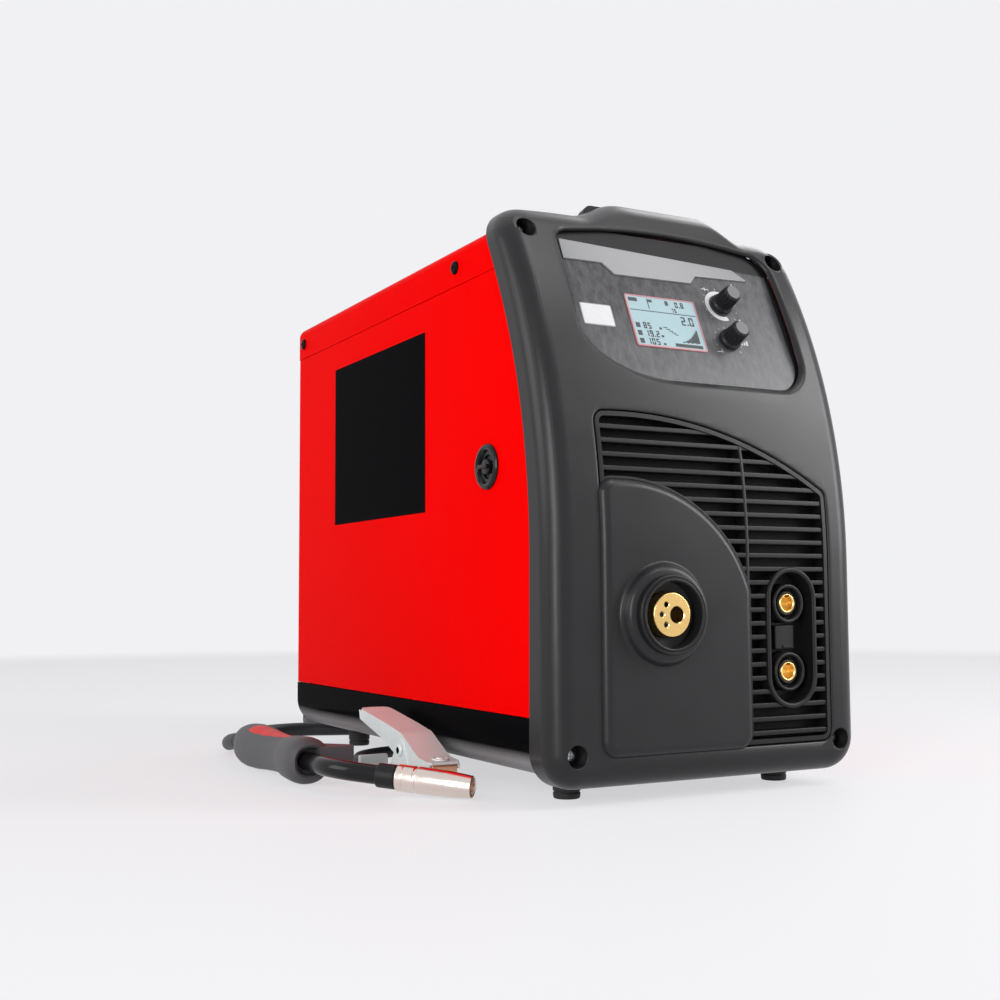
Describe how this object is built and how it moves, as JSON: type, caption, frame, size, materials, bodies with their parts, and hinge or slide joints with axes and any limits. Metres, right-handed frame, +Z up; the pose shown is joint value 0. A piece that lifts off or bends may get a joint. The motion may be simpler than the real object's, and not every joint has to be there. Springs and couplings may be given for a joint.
{
  "type": "mig welding machine",
  "caption": "Portable inverter MIG welder with hinged wire bay door, torch and output sockets, control panel, carry handle, hand torch and earth clamp.",
  "frame": {"origin": "on the floor, midway between the four rubber feet", "axes": "+Z up; the front panel faces -Y; the wire bay door, the torch and the earth clamp are on -X"},
  "size_m": [0.4645, 0.6575, 0.401],
  "materials": {
    "red_paint": "gloss",
    "black_paint": "satin",
    "black_plastic": "satin",
    "gloss_black": "gloss",
    "dark_fascia": "brushed",
    "silver_trim": "satin",
    "display": "gloss",
    "circuit_board": "satin",
    "rubber": "matte",
    "cable_rubber": "satin",
    "red_rocker": "gloss",
    "red_soft": "matte",
    "zinc": "galvanised",
    "roll_steel": "turned",
    "heatsink_aluminium": "extruded",
    "brass": "turned",
    "nickel": "satin",
    "copper_wire": "wound",
    "spool_plastic": "satin",
    "grey_plastic": "satin",
    "transformer_iron": "varnished"
  },
  "bodies": {
    "welder": {"base_pan": "black_paint", "centre_partition": "zinc", "top_cover": "red_paint", "front_bezel": "black_plastic", "front_grille": "black_plastic", "control_fascia": "dark_fascia", "fascia_trim": "silver_trim", "lcd_window": "display", "circuit_boards": "circuit_board", "rear_panel": "black_paint", "carry_handle": "black_plastic", "hand_trough": "black_plastic", "rubber_feet": "rubber", "case_screws": "black_paint", "hinge_pins": "zinc", "mains_switch": "black_plastic", "fan_frame": "black_plastic", "cable_gland": "black_plastic", "gas_valve": "brass", "gas_hose": "cable_rubber", "torch_socket": "black_plastic", "torch_contact": "brass", "output_sockets": "black_plastic", "output_contacts": "brass", "feeder_plate": "zinc", "feed_motor": "grey_plastic", "wire_guides": "brass", "spool_hub": "grey_plastic", "heatsink": "heatsink_aluminium", "main_transformer": "transformer_iron", "torch_handle": "grey_plastic", "torch_grip": "red_soft", "torch_neck": "gloss_black", "torch_nozzle": "nickel", "clamp_lower_jaw": "zinc", "torch_cable": "cable_rubber", "torch_coil": "cable_rubber", "torch_plug": "black_plastic", "clamp_cable": "cable_rubber", "clamp_coil": "cable_rubber", "clamp_plug": "black_plastic"},
    "side_door": {"side_door": "red_paint", "latch_bezel": "gloss_black"},
    "door_latch": {"latch_knob": "gloss_black"},
    "encoder_upper": {"encoder_upper": "zinc"},
    "dial_upper": {"dial_upper": "black_plastic"},
    "encoder_lower": {"encoder_lower": "zinc"},
    "dial_lower": {"dial_lower": "black_plastic"},
    "rocker": {"switch_rocker": "red_rocker"},
    "fan_rotor": {"fan_rotor": "black_plastic"},
    "wire_spool": {"wire_spool": "spool_plastic", "wound_wire": "copper_wire"},
    "drive_roll": {"drive_roll": "roll_steel"},
    "pressure_arm": {"pressure_arm": "grey_plastic"},
    "pressure_roll": {"pressure_roll": "roll_steel"},
    "tension_lever": {"tension_lever": "black_plastic", "tension_spring": "zinc"},
    "torch_trigger": {"torch_trigger": "black_plastic"},
    "clamp_upper_jaw": {"clamp_upper_jaw": "zinc", "clamp_spring": "zinc"}
  },
  "joints": [
    {"name": "side_door_hinge", "type": "hinge", "parent": "welder", "child": "side_door", "pos_m": [-0.115, 0.2255, 0.196], "axis": [0, 0, -1], "range_deg": [0, 120]},
    {"name": "door_latch_turn", "type": "hinge", "parent": "side_door", "child": "door_latch", "pos_m": [-0.1185, -0.1348, 0.2105], "axis": [1, 0, 0], "range_deg": [0, 90]},
    {"name": "encoder_upper_push", "type": "slide", "parent": "welder", "child": "encoder_upper", "axis": [0, 0.917, -0.3988], "range_m": [0, 0.0008], "stiffness_N_per_m": 600, "springref_m": -0.001},
    {"name": "dial_upper_turn", "type": "hinge", "parent": "encoder_upper", "child": "dial_upper", "pos_m": [0.044, -0.17008, 0.32499], "axis": [0, 0.917, -0.3988], "continuous": true},
    {"name": "encoder_lower_push", "type": "slide", "parent": "welder", "child": "encoder_lower", "axis": [0, 0.917, -0.3988], "range_m": [0, 0.0008], "stiffness_N_per_m": 600, "springref_m": -0.001},
    {"name": "dial_lower_turn", "type": "hinge", "parent": "encoder_lower", "child": "dial_lower", "pos_m": [0.0415, -0.1818, 0.29803], "axis": [0, 0.917, -0.3988], "continuous": true},
    {"name": "mains_rocker", "type": "hinge", "parent": "welder", "child": "rocker", "pos_m": [0.06, 0.227, 0.262], "axis": [-1, 0, 0], "range_deg": [0, 20]},
    {"name": "fan_spin", "type": "hinge", "parent": "welder", "child": "fan_rotor", "pos_m": [0.056, 0.21, 0.15], "axis": [0, 1, 0], "continuous": true},
    {"name": "spool_spin", "type": "hinge", "parent": "welder", "child": "wire_spool", "pos_m": [-0.0425, 0.08, 0.165], "axis": [1, 0, 0], "continuous": true},
    {"name": "drive_roll_spin", "type": "hinge", "parent": "welder", "child": "drive_roll", "pos_m": [-0.039, -0.115, 0.0999], "axis": [1, 0, 0], "continuous": true},
    {"name": "pressure_arm_pivot", "type": "hinge", "parent": "welder", "child": "pressure_arm", "pos_m": [-0.039, -0.075, 0.1279], "axis": [1, 0, 0], "range_deg": [-31.2, 0]},
    {"name": "pressure_roll_spin", "type": "hinge", "parent": "pressure_arm", "child": "pressure_roll", "pos_m": [-0.039, -0.115, 0.1269], "axis": [1, 0, 0], "continuous": true},
    {"name": "tension_lever_swing", "type": "hinge", "parent": "welder", "child": "tension_lever", "pos_m": [-0.06, -0.15, 0.078], "axis": [1, 0, 0], "range_deg": [0, 24], "deforming": ["tension_spring"]},
    {"name": "torch_trigger_pull", "type": "hinge", "parent": "welder", "child": "torch_trigger", "pos_m": [-0.194, 0.02, 0.016], "axis": [0, 0, -1], "range_deg": [0, 7], "stiffness_Nm_per_rad": 0.3, "springref_deg": -5.73},
    {"name": "clamp_squeeze", "type": "hinge", "parent": "welder", "child": "clamp_upper_jaw", "pos_m": [-0.138, -0.066, 0.023], "axis": [-1, 0, 0], "range_deg": [0, 14], "stiffness_Nm_per_rad": 4, "springref_deg": -17.19}
  ],
  "couplings": [
    {"joint": "pressure_roll_spin", "follows": "drive_roll_spin", "ratio": -1.2333},
    {"joint": "pressure_arm_pivot", "follows": "tension_lever_swing", "ratio": -1.3}
  ]
}
